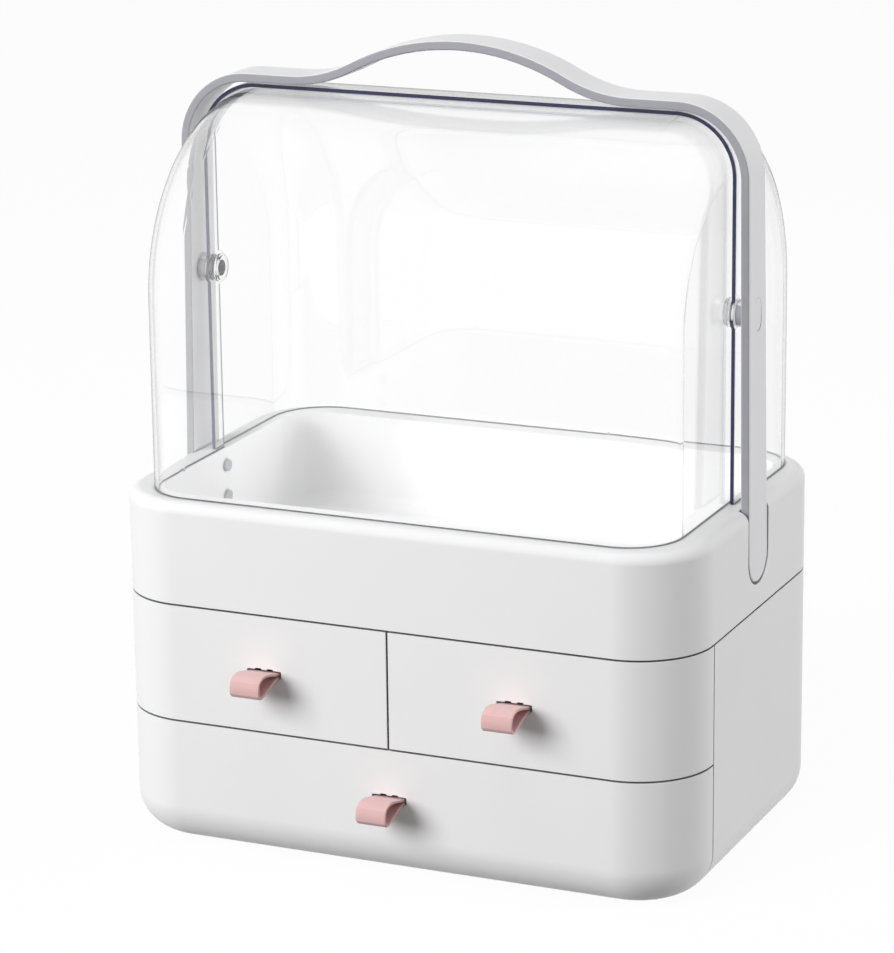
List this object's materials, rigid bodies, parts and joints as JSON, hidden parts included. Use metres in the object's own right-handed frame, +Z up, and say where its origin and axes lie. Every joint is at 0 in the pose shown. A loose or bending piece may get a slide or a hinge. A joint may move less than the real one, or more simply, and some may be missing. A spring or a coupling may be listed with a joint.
{
  "type": "makeup organizer",
  "caption": "Tabletop makeup organizer: rounded white case with drawers, an open tray on top under a clear two-part swing-up hood, and an arched carry handle.",
  "frame": {"origin": "centre of the flat underside of the lower case, on the surface the organizer stands on", "axes": "+Z up, -Y towards the user (the drawer fronts), +X to the right seen from the front, along the width"},
  "size_m": [0.3, 0.22, 0.3902],
  "materials": {
    "case_white": "satin moulded",
    "tray_white": "satin moulded",
    "handle_grey": "satin moulded",
    "clear_hood": "clear polished",
    "pull_pink": "soft matt",
    "screw_steel": "plated"
  },
  "bodies": {
    "case": {"lower_case": "case_white", "drawer_shelf": "case_white", "drawer_divider": "case_white", "upper_case": "case_white", "carry_handle": "handle_grey", "left_hinge_pin": "clear_hood", "right_hinge_pin": "clear_hood", "left_hinge_cap": "handle_grey", "right_hinge_cap": "handle_grey", "handle_screws": "screw_steel", "case_screws": "screw_steel"},
    "front_hood": {"front_hood": "clear_hood"},
    "rear_hood": {"rear_hood": "clear_hood"},
    "left_drawer": {"left_drawer_tray": "tray_white", "left_drawer_front": "case_white", "left_pull": "pull_pink", "left_pull_clip": "tray_white", "left_drawer_screws": "screw_steel"},
    "right_drawer": {"right_drawer_tray": "tray_white", "right_drawer_front": "case_white", "right_pull": "pull_pink", "right_pull_clip": "tray_white", "right_drawer_screws": "screw_steel"},
    "bottom_drawer": {"bottom_drawer_tray": "tray_white", "bottom_drawer_front": "case_white", "bottom_pull": "pull_pink", "bottom_pull_clip": "tray_white", "bottom_drawer_screws": "screw_steel"}
  },
  "joints": [
    {"name": "front_hood_swing", "type": "hinge", "parent": "case", "child": "front_hood", "pos_m": [0, 0, 0.268], "axis": [-1, 0, 0], "range_deg": [0, 90]},
    {"name": "rear_hood_swing", "type": "hinge", "parent": "case", "child": "rear_hood", "pos_m": [0, 0, 0.268], "axis": [-1, 0, 0], "range_deg": [-90, 0]},
    {"name": "left_drawer_slide", "type": "slide", "parent": "case", "child": "left_drawer", "axis": [0, -1, 0], "range_m": [0, 0.14]},
    {"name": "right_drawer_slide", "type": "slide", "parent": "case", "child": "right_drawer", "axis": [0, -1, 0], "range_m": [0, 0.14]},
    {"name": "bottom_drawer_slide", "type": "slide", "parent": "case", "child": "bottom_drawer", "axis": [0, -1, 0], "range_m": [0, 0.14]}
  ]
}
